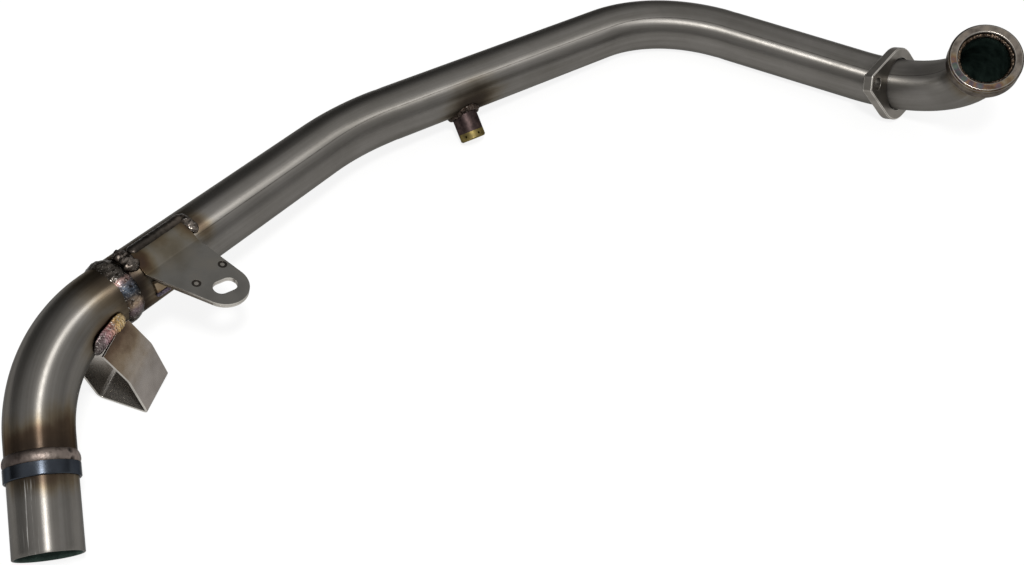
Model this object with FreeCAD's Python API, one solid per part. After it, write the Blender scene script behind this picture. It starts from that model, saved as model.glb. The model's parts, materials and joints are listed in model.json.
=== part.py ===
import FreeCAD, Part
import os
from math import acos, atan2, cos, degrees, pi, radians, sin, sqrt, tan

os.makedirs("parts", exist_ok=True)
V = FreeCAD.Vector

# Tube
tube_od = 35.0
wall = 1.5

# Outlet spigot, sized a little under the tube for the sleeve that slides on it
spigot_skim = 0.22
spigot_length = 36.5

# Centreline from the outlet mouth to the port face: straight runs and bends
outlet_run = 59.0
elbow_radius = 87.5
elbow_angle = 55.2
rear_run = 179.0
rise_radius = 193.0
rise_angle = 17.1
rise_turn = -40.0
mid_run = 189.0
apex_radius = 92.0
apex_angle = 62.2
apex_turn = 2.7
front_run = 100.0
neck_radius = 74.0
neck_angle = 89.8
neck_turn = -54.4

# Clearance of rings, saddles and strips that are slipped on the tube before welding
slip_gap = 0.08

# Butt weld between the rear elbow and the front tube, behind the elbow's end
butt_offset = 8.7
butt_root = 1.4
butt_width = 5.4
butt_crown = 0.9

# Stop ring on the outlet and the fillet weld behind it
stop_setback = 37.0
stop_length = 7.0
stop_thickness = 1.2
stop_edge = 0.5
stop_weld_leg = 5.0

# Port ring
port_length = 11.0
port_od = 47.2
port_edge = 1.2
port_recess = 3.2
port_weld_leg = 1.9

# Loose two-stud flange on the neck bend
flange_into_bend = 19.9
flange_lie = -61.7
flange_lean_long = 7.0
flange_lean_cross = -4.0
flange_thickness = 7.0
flange_width = 50.6
flange_end_flat = 10.8
flange_clearance = 1.0
flange_edge = 0.7
flange_corner = 2.0
stud_pitch = 65.0
stud_hole = 8.6
stud_margin = 8.5

# Sensor boss, its weld and the plug screwed into it
boss_station = 435.5
boss_turn = -41.4
boss_od = 17.2
boss_top = 12.6
boss_thread = 12.0
boss_weld_leg = 2.8
plug_head = 5.5
plug_edge = 0.9
plug_shank = 9.0
plug_thread_gap = 0.06
plug_pin_hole = 1.6
plug_pin_depth = 2.0
plug_pin_spread = 62.0
plug_pin_turn = -118.0

# Slotted bracket: two pressed halves, saddle and leg on the tube, tabs face to face
sheet = 1.5
bracket_station = 180.0
bracket_face = -177.2
bracket_back = 16.4
bracket_front = 22.2
saddle_start = -38.0
saddle_end = 3.0
tab_lean = 60.0
tab_height = 15.5
tab_length = 46.3
tab_end_radius = 13.6
fold_radius = 2.6
leg_meet = 2.6
leg_foot = 46.0
slot_length = 14.0
slot_width = 9.0
slot_rise = 33.4
slot_turn = 15.0
spot_pitch = 20.0
spot_rise = 22.0
spot_diameter = 5.0
spot_sink = 0.3
bracket_bead = 2.6
bracket_bead_offset = 5.0
leg_bead = 1.9
back_lump = 4.0
back_lump_turn = -20.0
back_lump_spread = 44.0
front_lump = 2.8
front_lump_turn = -4.0
front_lump_spread = 36.0

# Folded strip loop under the elbow
strip = 1.5
loop_station = 126.0
loop_square_to = 110.0
loop_face = 170.4
loop_width = 26.0
loop_foot = V(3.4, 19.6, 0)
loop_kink = V(-10.0, 38.0, 0)
loop_tip = V(-35.0, 55.0, 0)
loop_heel = V(-45.0, 28.5, 0)
loop_tail = V(-18.2, 6.5, 0)
kink_radius = 9.0
tip_radius = 1.7
heel_radius = 4.0
loop_bead = 2.3
loop_front_bead = 3.5
loop_front_offset = -10.0

# Resting position on a level floor
rest_yaw = 108.68
rest_pitch = -24.57
rest_roll = -153.27

tube_r = tube_od / 2.0
bore_r = tube_r - wall
courses = [
    (outlet_run, elbow_radius, elbow_angle, 0.0),
    (rear_run, rise_radius, rise_angle, rise_turn),
    (mid_run, apex_radius, apex_angle, apex_turn),
    (front_run, neck_radius, neck_angle, neck_turn),
    (port_length, 0.0, 0.0, 0.0),
]


def turned(vector, axis, angle):
    return FreeCAD.Rotation(axis, angle).multVec(vector)


# Straight and bent lengths in order, each with its start, heading and bend normal
def lay_out():
    point = V(0, 0, 0)
    heading = V(1, 0, 0)
    normal = V(0, 0, 1)
    along = 0.0
    lengths = []
    for run, radius, angle, turn in courses:
        lengths.append(dict(start=along, length=run, point=point, heading=heading, normal=normal, radius=0.0))
        point = point + heading * run
        along += run
        if radius > 0:
            normal = turned(normal, heading, turn)
            bent = radius * radians(angle)
            lengths.append(dict(start=along, length=bent, point=point, heading=heading, normal=normal, radius=radius))
            centre = point + normal.cross(heading) * radius
            point = centre + turned(point - centre, normal, angle)
            heading = turned(heading, normal, angle)
            along += bent
    return lengths, along


lengths, total = lay_out()
elbow_end = outlet_run + elbow_radius * radians(elbow_angle)
butt_station = elbow_end + butt_offset
neck_start = total - port_length - neck_radius * radians(neck_angle)


# Point, heading and bend normal at a distance along the centreline
def station(s):
    piece = lengths[0]
    for item in lengths:
        if s >= item["start"]:
            piece = item
    step = s - piece["start"]
    if piece["radius"] == 0:
        return piece["point"] + piece["heading"] * step, piece["heading"], piece["normal"]
    angle = degrees(step / piece["radius"])
    centre = piece["point"] + piece["normal"].cross(piece["heading"]) * piece["radius"]
    point = centre + turned(piece["point"] - centre, piece["normal"], angle)
    return point, turned(piece["heading"], piece["normal"], angle), piece["normal"]


# Centreline wire between two stations
def path(s1, s2):
    edges = []
    for item in lengths:
        a = max(s1, item["start"])
        b = min(s2, item["start"] + item["length"])
        if b - a < 0.001:
            continue
        inside = b - 0.0005
        ends = [station(a)[0], station(0.5 * (a + b))[0], station(inside)[0] + station(inside)[1] * 0.0005]
        if item["radius"] == 0:
            edges.append(Part.makeLine(ends[0], ends[2]))
        else:
            edges.append(Part.Arc(ends[0], ends[1], ends[2]).toShape())
    return Part.Wire(edges)


# Solid bar of one radius along the centreline
def bar(s1, s2, r):
    point, heading, normal = station(s1)
    disc = Part.Face(Part.Wire(Part.makeCircle(r, point, heading)))
    return path(s1, s2).makePipe(disc)


def tube(s1, s2):
    return bar(s1, s2, tube_r).cut(bar(s1, s2, bore_r))


# Ring turned about the centreline from a profile of (distance along, radius)
def turned_ring(s, profile):
    point, heading, normal = station(s)
    corners = [point + heading * x + normal * r for x, r in profile]
    face = Part.Face(Part.makePolygon(corners + corners[:1]))
    return face.revolve(point, heading, 360)


# Matrix that lays x, y, z of a flat drawing on three directions at a point
def frame(origin, ex, ey, ez):
    return FreeCAD.Matrix(ex.x, ey.x, ez.x, origin.x, ex.y, ey.y, ez.y, origin.y,
                          ex.z, ey.z, ez.z, origin.z, 0, 0, 0, 1)


# Cross-section frame: x towards the given side of the tube, y a quarter turn on, z along the tube
def section_frame(point, heading, normal, side):
    ex = turned(normal, heading, side)
    return frame(point, ex, heading.cross(ex), heading)


# Face of a strip of constant thickness folded along a run of corners
def folded(corners, radii, thickness):
    half = thickness / 2.0
    left = []
    right = []
    last = corners[0]
    for i in range(1, len(corners)):
        way = (corners[i] - corners[i - 1]).normalize()
        side = V(-way.y, way.x, 0)
        if i == len(corners) - 1:
            left.append(Part.makeLine(last + side * half, corners[i] + side * half))
            right.append(Part.makeLine(last - side * half, corners[i] - side * half))
            break
        after = (corners[i + 1] - corners[i]).normalize()
        bend = atan2(way.x * after.y - way.y * after.x, way.dot(after))
        sense = 1.0 if bend > 0 else -1.0
        reach = radii[i - 1] * tan(abs(bend) / 2.0)
        enter = corners[i] - way * reach
        leave = corners[i] + after * reach
        side2 = V(-after.y, after.x, 0)
        centre = enter + side * sense * radii[i - 1]
        middle = (enter - centre + leave - centre).normalize()
        if (enter - last).Length > 0.001:
            left.append(Part.makeLine(last + side * half, enter + side * half))
            right.append(Part.makeLine(last - side * half, enter - side * half))
        inner = radii[i - 1] - half * sense
        outer = radii[i - 1] + half * sense
        left.append(Part.Arc(enter + side * half, centre + middle * inner, leave + side2 * half).toShape())
        right.append(Part.Arc(enter - side * half, centre + middle * outer, leave - side2 * half).toShape())
        last = leave
    first_way = (corners[1] - corners[0]).normalize()
    first_side = V(-first_way.y, first_way.x, 0)
    last_way = (corners[-1] - corners[-2]).normalize()
    last_side = V(-last_way.y, last_way.x, 0)
    cap1 = Part.makeLine(corners[0] + first_side * half, corners[0] - first_side * half)
    cap2 = Part.makeLine(corners[-1] + last_side * half, corners[-1] - last_side * half)
    return Part.Face(Part.Wire(Part.__sortEdges__(left + right + [cap1, cap2])))


# Weld bead with round ends lying along the tube at one angle round it
def run_bead(s1, s2, turn, lift, r):
    parts = []
    for item in lengths:
        a = max(s1, item["start"])
        b = min(s2, item["start"] + item["length"])
        if b - a < 0.001:
            continue
        point, heading, normal = station(a)
        place = point + turned(normal, heading, turn) * (tube_r + lift)
        disc = Part.Face(Part.Wire(Part.makeCircle(r, place, heading)))
        if item["radius"] == 0:
            parts.append(disc.extrude(heading * (b - a)))
        else:
            centre = point + normal.cross(heading) * item["radius"]
            parts.append(disc.revolve(centre, normal, degrees((b - a) / item["radius"])))
    for end in (s1, s2):
        point, heading, normal = station(end)
        parts.append(Part.makeSphere(r, point + turned(normal, heading, turn) * (tube_r + lift)))
    return parts[0].fuse(parts[1:])


# Weld bead with round ends lying round the tube at one station
def hoop_bead(s, turn1, turn2, lift, r):
    point, heading, normal = station(s)
    reach = tube_r + lift
    places = [point + turned(normal, heading, turn) * reach for turn in (turn1, turn2)]
    way = heading.cross(places[0] - point).normalize()
    disc = Part.Face(Part.Wire(Part.makeCircle(r, places[0], way)))
    body = disc.revolve(point, heading, turn2 - turn1)
    return body.fuse([Part.makeSphere(r, place) for place in places])


def polar(r, angle):
    return V(r * cos(radians(angle)), r * sin(radians(angle)), 0)


def biggest(shape):
    return max(shape.Solids, key=lambda solid: solid.Volume)


# Long front tube from the butt weld to inside the port ring, with the sensor hole
def front_tube():
    return tube(butt_station + butt_root / 2, total - port_recess).cut(boss_bore())


# Rear elbow with the outlet spigot
def rear_elbow():
    spigot_r = tube_r - spigot_skim
    skim = [(0, spigot_r), (spigot_length, spigot_r), (spigot_length, tube_od), (0, tube_od)]
    return tube(0, butt_station - butt_root / 2).cut(turned_ring(0, skim))


# Butt weld: root between the tube ends and a low crown
def weld_butt():
    root = butt_root / 2
    half = butt_width / 2
    crown = [(-root, bore_r), (-root, tube_r), (-half, tube_r)]
    crown += [(-half * 0.55, tube_r + butt_crown * 0.8), (0, tube_r + butt_crown)]
    crown += [(half * 0.55, tube_r + butt_crown * 0.8), (half, tube_r), (root, tube_r), (root, bore_r)]
    return turned_ring(butt_station, crown)


# Stop ring slipped on the outlet
def stop_ring():
    inner = tube_r + slip_gap
    outer = tube_r + stop_thickness
    profile = [(0, inner), (stop_length, inner), (stop_length, outer), (stop_edge, outer), (0, outer - stop_edge)]
    return turned_ring(stop_setback, profile)


# Fillet weld behind the stop ring
def weld_stop_ring():
    rise = tube_r + stop_thickness
    profile = [(0, tube_r), (stop_weld_leg, tube_r), (stop_weld_leg * 0.5, tube_r + stop_thickness * 0.75)]
    profile += [(stop_weld_leg * 0.2, rise), (0, rise)]
    return turned_ring(stop_setback + stop_length, profile)


# Port ring around the tube's front end
def port_ring():
    inner = tube_r + slip_gap
    outer = port_od / 2
    profile = [(0, inner), (port_length - port_edge * 0.5, inner), (port_length, inner + port_edge * 0.5)]
    profile += [(port_length, outer - port_edge), (port_length - port_edge, outer)]
    profile += [(port_edge * 0.5, outer), (0, outer - port_edge * 0.5)]
    return turned_ring(total - port_length, profile)


# Weld inside the port ring on the tube's end
def weld_port_ring():
    inner = tube_r + slip_gap
    low = bore_r + wall * 0.25
    profile = [(0, low), (0, inner), (port_weld_leg, inner), (port_weld_leg * 0.55, (inner + low) / 2)]
    return turned_ring(total - port_recess, profile)


# Outline of the flange: round middle, straight flanks, short flat ends
def flange_outline():
    r = flange_width / 2
    end = stud_pitch / 2 + stud_margin
    corner = V(end, flange_end_flat / 2, 0)
    touch = polar(r, degrees(atan2(corner.y, corner.x) + acos(r / corner.Length)))
    edges = []
    for sx, sy in ((1, 1), (-1, -1)):
        a = V(sx * touch.x, sy * touch.y, 0)
        b = V(sx * corner.x, sy * corner.y, 0)
        c = V(sx * corner.x, -sy * corner.y, 0)
        d = V(sx * touch.x, -sy * touch.y, 0)
        e = V(-sx * touch.x, -sy * touch.y, 0)
        edges += [Part.makeLine(a, b), Part.makeLine(b, c), Part.makeLine(c, d)]
        edges.append(Part.Arc(d, V(0, -sy * r, 0), e).toShape())
    return Part.Wire(Part.__sortEdges__(edges))


# Frame of the flange on the neck bend, leaning as it hangs
def flange_frame():
    point, heading, normal = station(neck_start + neck_radius * radians(flange_into_bend))
    ex = turned(normal, heading, flange_lie)
    ey = heading.cross(ex)
    ez = turned(turned(heading, ey, flange_lean_long), ex, -flange_lean_cross)
    ex = (ex - ez * ex.dot(ez)).normalize()
    return frame(point, ex, ez.cross(ex), ez)


def stud_flange():
    body = Part.Face(flange_outline()).extrude(V(0, 0, flange_thickness))
    corners = []
    for edge in body.Edges:
        if len(edge.Vertexes) == 2 and abs(edge.tangentAt(edge.FirstParameter).z) > 0.9:
            if abs(edge.Vertexes[0].X) > stud_pitch / 2:
                corners.append(edge)
    body = body.makeFillet(flange_corner, corners)
    body = body.cut(Part.makeCylinder(tube_r + flange_clearance, flange_thickness))
    for side in (-1, 1):
        body = body.cut(Part.makeCylinder(stud_hole / 2, flange_thickness, V(side * stud_pitch / 2, 0, 0)))
    rims = [edge for edge in body.Edges if edge.BoundBox.ZLength < 0.001]
    outer = [edge for edge in rims if edge.BoundBox.Center.Length > 1 and not is_hole(edge)]
    body = body.makeChamfer(flange_edge, outer)
    body.translate(V(0, 0, -flange_thickness / 2))
    return body.transformed(flange_frame())


# Rims of the bore and of the stud holes stay sharp
def is_hole(edge):
    return edge.isClosed()


# Frame of the boss: z out of the tube, x along it
def boss_frame():
    point, heading, normal = station(boss_station)
    out = turned(normal, heading, boss_turn)
    return frame(point, heading, out.cross(heading), out)


def boss_bore():
    hole = Part.makeCylinder(boss_thread / 2, tube_r + boss_top)
    return hole.transformed(boss_frame())


def sensor_boss():
    body = Part.makeCylinder(boss_od / 2, tube_r + boss_top)
    body = body.cut(Part.makeCylinder(boss_thread / 2, tube_r + boss_top))
    return biggest(body.transformed(boss_frame()).cut(boss_seat()))


# The tube as a full bar around the boss
def boss_seat():
    return bar(boss_station - 2 * boss_od, boss_station + 2 * boss_od, tube_r)


# Stepped fillet weld that follows the tube round the boss
def weld_boss():
    body = None
    for share in (0.4, 0.75, 1.0):
        height = boss_weld_leg * (1.25 - share)
        collar = Part.makeCylinder(boss_od / 2 + boss_weld_leg * share, tube_od).transformed(boss_frame())
        span = 2 * boss_od
        layer = collar.common(bar(boss_station - span, boss_station + span, tube_r + height))
        body = layer if body is None else body.fuse(layer)
    solid_boss = Part.makeCylinder(boss_od / 2, tube_od).transformed(boss_frame())
    return biggest(body.cut([boss_seat(), solid_boss]))


# Plug: round head with two pin holes in its side, shank in the boss
def boss_plug():
    top = tube_r + boss_top
    head = Part.makeCylinder(boss_od / 2, plug_head - plug_edge, V(0, 0, top))
    rim = Part.makeCone(boss_od / 2, boss_od / 2 - plug_edge, plug_edge, V(0, 0, top + plug_head - plug_edge))
    shank = Part.makeCylinder(boss_thread / 2 - plug_thread_gap, plug_shank, V(0, 0, top - plug_shank))
    body = head.fuse([rim, shank]).removeSplitter()
    for side in (-0.5, 0.5):
        way = polar(1, plug_pin_turn + side * plug_pin_spread)
        start = way * (boss_od / 2 - plug_pin_depth) + V(0, 0, top + plug_head * 0.45)
        body = body.cut(Part.makeCylinder(plug_pin_hole / 2, plug_pin_depth + 1, start, way))
    return body.transformed(boss_frame())


# Bracket drawing: x towards the outer side of the tube, y round it, z along it
def bracket_frame():
    point, heading, normal = station(bracket_station)
    return section_frame(point, heading, normal, bracket_face)


# Point of a tab's middle plane at a rise from the level of the tube's axis
def tab_point(height, rise):
    return polar(height, tab_lean - 90) + polar(rise, tab_lean)


# Fold between the saddle and the tab, and its rise, from which the tab is measured
def saddle_fold():
    r = tube_r + slip_gap + sheet / 2
    return meet_tab(polar(r, saddle_end), polar(1, saddle_end + 90), tab_height - sheet / 2)


def tab_root():
    return saddle_fold().dot(polar(1, tab_lean))


# Where a line meets the tab's middle plane
def meet_tab(start, way, height):
    out = polar(1, tab_lean - 90)
    return start + way * ((height - start.dot(out)) / way.dot(out))


# Outline of both tabs with the slot, drawn in the tab's plane: x along the tube, y up the tab
def tab_cutter():
    tip = V(bracket_front - tab_end_radius, tab_root() + tab_length - tab_end_radius, 0)
    low = V(-bracket_back, tab_root(), 0)
    away = tip - low
    bearing = pi + atan2(away.y, away.x) - acos(tab_end_radius / away.Length)
    touch = tip + polar(tab_end_radius, degrees(bearing))
    right = V(tip.x + tab_end_radius, tip.y, 0)
    top = V(tip.x, tip.y + tab_end_radius, 0)
    deep = 3 * tube_od
    foot_left = V(-bracket_back, -deep, 0)
    foot_right = V(right.x, -deep, 0)
    edges = [Part.makeLine(foot_left, low), Part.makeLine(low, touch), Part.Arc(touch, top, right).toShape()]
    edges += [Part.makeLine(right, foot_right), Part.makeLine(foot_right, foot_left)]
    return Part.Face(Part.Wire(Part.__sortEdges__(edges)))


# Frame of the tab's plane: x along the tube, y up the tab, z out of its upper side
def tab_frame():
    point, heading, normal = station(bracket_station)
    ex = turned(normal, heading, bracket_face)
    ey = heading.cross(ex)
    up = ex * cos(radians(tab_lean)) + ey * sin(radians(tab_lean))
    out = heading.cross(up)
    return frame(point, heading, up, out)


# Slot and spot places cut through both tabs
def slot_cut():
    deep = 2 * tube_od
    run = (slot_length - slot_width) / 2
    body = Part.makeBox(2 * run, slot_width, 2 * deep, V(-run, -slot_width / 2, -deep))
    for side in (-run, run):
        body = body.fuse(Part.makeCylinder(slot_width / 2, 2 * deep, V(side, 0, -deep)))
    body.rotate(V(0, 0, 0), V(0, 0, 1), slot_turn)
    body.translate(V(bracket_front - tab_end_radius, tab_root() + slot_rise, 0))
    return body.transformed(tab_frame())


def spot_pins(low, high):
    pins = []
    for side in (-0.5, 0.5):
        place = V(bracket_front - tab_end_radius + side * spot_pitch, tab_root() + spot_rise, -high)
        pins.append(Part.makeCylinder(spot_diameter / 2, high - low, place).transformed(tab_frame()))
    return pins


# One half from its folded cross-section, trimmed to the outline in the tab's plane
def bracket_half(corners, radii):
    length = bracket_back + bracket_front
    body = folded(corners, radii, sheet).extrude(V(0, 0, length))
    body.translate(V(0, 0, -bracket_back))
    body = body.transformed(bracket_frame())
    mask = tab_cutter().extrude(V(0, 0, 4 * tube_od))
    mask.translate(V(0, 0, -2 * tube_od))
    body = body.common(mask.transformed(tab_frame()))
    body = body.cut(slot_cut())
    for pin in spot_pins(0, 2 * tube_od):
        body = body.cut(pin)
    return biggest(body)


# Upper half: saddle on the tube, then the tab
def bracket_upper():
    r = tube_r + slip_gap + sheet / 2
    height = tab_height - sheet / 2
    start = polar(r, saddle_start)
    spread = radians(saddle_end - saddle_start)
    corner = polar(r / cos(spread / 2), (saddle_start + saddle_end) / 2)
    end = tab_point(height, tab_root() + tab_length)
    return bracket_half([start, corner, saddle_fold(), end], [r, fold_radius])


# Lower half: the second tab and a leg that lies on the tube
def bracket_lower():
    r = tube_r + slip_gap + sheet / 2
    height = tab_height - sheet * 1.5
    fold = tab_point(height, sqrt(tube_r ** 2 - height ** 2) + leg_meet)
    touch = degrees(atan2(fold.y, fold.x) + acos(r / fold.Length))
    corner = polar(r / cos(radians(leg_foot - touch) / 2), (leg_foot + touch) / 2)
    end = tab_point(height, tab_root() + tab_length)
    return bracket_half([polar(r, leg_foot), corner, fold, end], [r, fold_radius])


# Resistance spot welds through both tabs
def spot_welds():
    return Part.makeCompound(spot_pins(tab_height - 2 * sheet + spot_sink, tab_height - spot_sink))


# Weld along the upper edge of the saddle
def weld_bracket_upper():
    s1 = bracket_station - bracket_back + back_lump
    s2 = bracket_station + bracket_front
    return run_bead(s1, s2, bracket_face + saddle_start - bracket_bead_offset, sheet / 2, bracket_bead)


# Heavy lumps at both ends of the upper weld
def weld_bracket_ends():
    back = bracket_station - bracket_back - back_lump / 2
    front = bracket_station + bracket_front + front_lump
    edge = bracket_face + saddle_start
    first = edge + back_lump_turn
    second = edge + front_lump_turn
    return [hoop_bead(back, first, first + back_lump_spread, sheet / 3, back_lump),
            hoop_bead(front, second, second + front_lump_spread, sheet / 3, front_lump)]


# Weld along the foot of the lower leg
def weld_bracket_lower():
    s1 = bracket_station - bracket_back + leg_bead
    s2 = bracket_station + bracket_front - leg_bead
    return run_bead(s1, s2, bracket_face + leg_foot + bracket_bead_offset, sheet / 3, leg_bead)


# Loop drawing: z along the strip's width
def loop_frame():
    point = station(loop_station)[0]
    heading, normal = station(loop_square_to)[1:]
    return section_frame(point, heading, normal, loop_face)


def stop_loop():
    corners = [loop_foot, loop_kink, loop_tip, loop_heel, loop_tail]
    body = folded(corners, [kink_radius, tip_radius, heel_radius], strip).extrude(V(0, 0, loop_width))
    body.translate(V(0, 0, -loop_width / 2))
    body = body.transformed(loop_frame())
    return biggest(body.cut(bar(0, butt_station + 4 * tube_od, tube_r + slip_gap)))


# Welds where the strip's two ends stand on the tube
def loop_seam(corner, reach, offset, r):
    turn = loop_face + degrees(atan2(corner.y, corner.x)) + offset
    return run_bead(loop_station - reach, loop_station + reach, turn, 0, r)


def weld_loop_front():
    return loop_seam(loop_foot, loop_width * 0.55, loop_front_offset, loop_front_bead)


def weld_loop_back():
    return loop_seam(loop_tail, loop_width * 0.4, 0, loop_bead)


# Beads end at the surfaces of the tubes and sheets that they join
def trimmed(shape, others):
    for other in others:
        shape = shape.cut(other)
    return shape


def build():
    full = bar(0, total - port_length, tube_r)
    upper = bracket_upper()
    lower = bracket_lower()
    loop = stop_loop()
    crown = weld_butt()
    shapes = dict(
        front_tube=front_tube(),
        rear_elbow=rear_elbow(),
        weld_butt=crown,
        stop_ring=stop_ring(),
        weld_stop_ring=weld_stop_ring(),
        port_ring=port_ring(),
        weld_port_ring=weld_port_ring(),
        stud_flange=stud_flange(),
        sensor_boss=sensor_boss(),
        weld_boss=weld_boss(),
        boss_plug=boss_plug(),
        bracket_upper=upper,
        bracket_lower=lower,
        spot_welds=spot_welds(),
        stop_loop=loop,
    )
    seam = trimmed(weld_bracket_upper(), [full, upper])
    shapes["weld_bracket_upper"] = biggest(seam)
    lumps = [biggest(trimmed(lump, [full, upper, lower, crown, shapes["weld_bracket_upper"]]))
             for lump in weld_bracket_ends()]
    shapes["weld_bracket_ends"] = Part.makeCompound(lumps)
    shapes["weld_bracket_lower"] = biggest(trimmed(weld_bracket_lower(), [full, lower, upper]))
    front = trimmed(weld_loop_front(), [full, loop, crown, lower, shapes["weld_bracket_lower"]])
    shapes["weld_loop_front"] = biggest(front)
    shapes["weld_loop_back"] = biggest(trimmed(weld_loop_back(), [full, loop]))
    return shapes


# Lay the part on the floor: turn it to its resting position, centre it and set its lowest point at zero
def lay_down(shapes):
    turn = FreeCAD.Placement(V(0, 0, 0), FreeCAD.Rotation(rest_yaw, rest_pitch, rest_roll)).toMatrix()
    laid = {name: shape.transformed(turn) for name, shape in shapes.items()}
    box = Part.makeCompound(list(laid.values())).optimalBoundingBox(False)
    shift = V(-(box.XMin + box.XMax) / 2, -(box.YMin + box.YMax) / 2, -box.ZMin)
    for shape in laid.values():
        shape.translate(shift)
    return laid


for name, shape in lay_down(build()).items():
    shape.exportStep("parts/" + name + ".step")
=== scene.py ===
import json
import math

import bmesh
import bpy
from mathutils import Matrix, Vector, noise


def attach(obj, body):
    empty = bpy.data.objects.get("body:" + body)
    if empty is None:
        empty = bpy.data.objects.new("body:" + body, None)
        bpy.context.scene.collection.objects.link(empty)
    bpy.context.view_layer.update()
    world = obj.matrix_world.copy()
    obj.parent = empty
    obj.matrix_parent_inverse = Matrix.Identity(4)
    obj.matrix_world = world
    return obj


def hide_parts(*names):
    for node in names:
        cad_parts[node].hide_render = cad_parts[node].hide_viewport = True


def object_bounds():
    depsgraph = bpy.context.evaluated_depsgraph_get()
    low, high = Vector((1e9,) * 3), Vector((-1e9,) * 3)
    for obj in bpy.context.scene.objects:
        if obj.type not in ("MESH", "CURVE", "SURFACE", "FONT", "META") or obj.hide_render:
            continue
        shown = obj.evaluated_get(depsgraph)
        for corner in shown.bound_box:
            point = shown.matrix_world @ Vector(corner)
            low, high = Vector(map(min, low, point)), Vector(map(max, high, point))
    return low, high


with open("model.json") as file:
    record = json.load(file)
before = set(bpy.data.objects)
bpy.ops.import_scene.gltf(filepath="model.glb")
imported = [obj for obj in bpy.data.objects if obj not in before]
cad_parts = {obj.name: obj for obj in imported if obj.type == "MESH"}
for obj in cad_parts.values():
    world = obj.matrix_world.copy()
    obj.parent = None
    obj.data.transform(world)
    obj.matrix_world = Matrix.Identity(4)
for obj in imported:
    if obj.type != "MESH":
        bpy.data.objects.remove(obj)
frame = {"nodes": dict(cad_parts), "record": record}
cadLow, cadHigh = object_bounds()
mounts = {mount["name"]: mount for mount in frame["record"]["mounts"]}
openings = {opening["name"]: opening for opening in frame["record"]["physics"]["openings"]}
mm = 0.001
mergeGap = 0.001 * mm
print("frame loaded,", len(frame["nodes"]), "nodes")

# the pipe's own route, in millimetres and degrees, as it was bent
pipe = {
    "radius": 17.5,
    "wall": 1.5,
    "runs": [59.0, 179.0, 189.0, 100.0, 11.0],  # straight lengths from the outlet mouth to the port face
    "bendRadius": [87.5, 193.0, 92.0, 74.0],
    "bendAngle": [55.2, 17.1, 62.2, 89.8],
    "bendTurn": [0.0, -40.0, 2.7, -54.4],  # how far each bend's plane is turned from the last one's
    "firstNormal": (-0.5450362, 0.2077484, -0.8122661),
    "spigot": 36.5,
    "spigotRadius": 17.28,
    "stopWeldAt": 46.6,
    "buttAt": 152.0,
    "buttRoot": 1.4,
    "portRecess": 3.2,
    "dieMarks": [379.9, 668.8],  # faint waists that the bending die left
    "dieDepth": 0.14,
    "dieWidth": 2.6,
    "endRound": 0.25,
    "ringStep": 2.0,
    "segments": 64,
}


def linear(colour):
    parts = [int(colour[i:i + 2], 16) / 255 for i in (1, 3, 5)]
    return tuple(p / 12.92 if p <= 0.04045 else ((p + 0.055) / 1.055) ** 2.4 for p in parts) + (1.0,)


# adds a node, sets it and links it; ramp holds (place, colour) pairs
def addNode(tree, kind, inputs=None, ramp=None, **settings):
    node = tree.nodes.new("ShaderNode" + kind)
    for key, value in settings.items():
        setattr(node, key, value)
    if ramp:
        while len(node.color_ramp.elements) < len(ramp):
            node.color_ramp.elements.new(0.5)
        for element, (place, colour) in zip(node.color_ramp.elements, ramp):
            element.position = place
            element.color = linear(colour)
    for key, value in (inputs or {}).items():
        if isinstance(value, bpy.types.NodeSocket):
            tree.links.new(value, node.inputs[key])
        else:
            node.inputs[key].default_value = value
    return node


# a metal surface with its grazing shine held down, as on scaled and handled steel
def newMetal(name, metallic=1.0, grazing=0.45):
    material = bpy.data.materials.new(name)
    material.use_nodes = True
    tree = material.node_tree
    shader = tree.nodes["Principled BSDF"]
    shader.inputs["Metallic"].default_value = metallic
    shader.inputs["Specular Tint"].default_value = (grazing, grazing, grazing, 1.0)
    return material, tree, shader


# every straight and bent length with its start, so that a place on the pipe can be found by distance
def layRoute():
    axis = -Vector(mounts["outlet_spigot"]["axis"])
    point = Vector(mounts["outlet_spigot"]["pos_m"]) - axis * (pipe["spigot"] / 2 * mm)
    normal = Vector(pipe["firstNormal"])
    mark = normal.copy()
    along = 0.0
    route = []

    def addLeg(bend):
        route.append({"from": along, "at": point, "heading": axis,
                      "normal": normal, "mark": mark, "bend": bend})

    for i, run in enumerate(pipe["runs"]):
        addLeg(0.0)
        point = point + axis * run * mm
        along += run
        if i < len(pipe["bendRadius"]):
            radius = pipe["bendRadius"][i]
            normal = Matrix.Rotation(math.radians(pipe["bendTurn"][i]), 3, axis) @ normal
            addLeg(radius)
            turn = Matrix.Rotation(math.radians(pipe["bendAngle"][i]), 3, normal)
            centre = point + normal.cross(axis) * radius * mm
            point = centre + turn @ (point - centre)
            axis = turn @ axis
            mark = turn @ mark
            along += radius * math.radians(pipe["bendAngle"][i])
    return route, along


route, pipeLength = layRoute()


# point, heading, bend normal and carried mark at a distance along the pipe
def walk(s):
    leg = [part for part in route if part["from"] <= max(s, 0.0)][-1]
    step = s - leg["from"]
    if not leg["bend"]:
        return leg["at"] + leg["heading"] * step * mm, leg["heading"], leg["normal"], leg["mark"]
    turn = Matrix.Rotation(step / leg["bend"], 3, leg["normal"])
    centre = leg["at"] + leg["normal"].cross(leg["heading"]) * leg["bend"] * mm
    return centre + turn @ (leg["at"] - centre), turn @ leg["heading"], leg["normal"], turn @ leg["mark"]


# place on the tube's outside: x along the heading, y out, z round the tube
# the angle counts from the bend's normal, or else from the mark that the tube carries along
def seat(s, angle, lift=0.0, fromNormal=True):
    point, heading, normal, mark = walk(s)
    out = Matrix.Rotation(math.radians(angle), 3, heading) @ (normal if fromNormal else mark)
    place = point + out * (pipe["radius"] + lift) * mm
    return Matrix((heading, out, heading.cross(out))).transposed().to_4x4(), place


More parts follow.
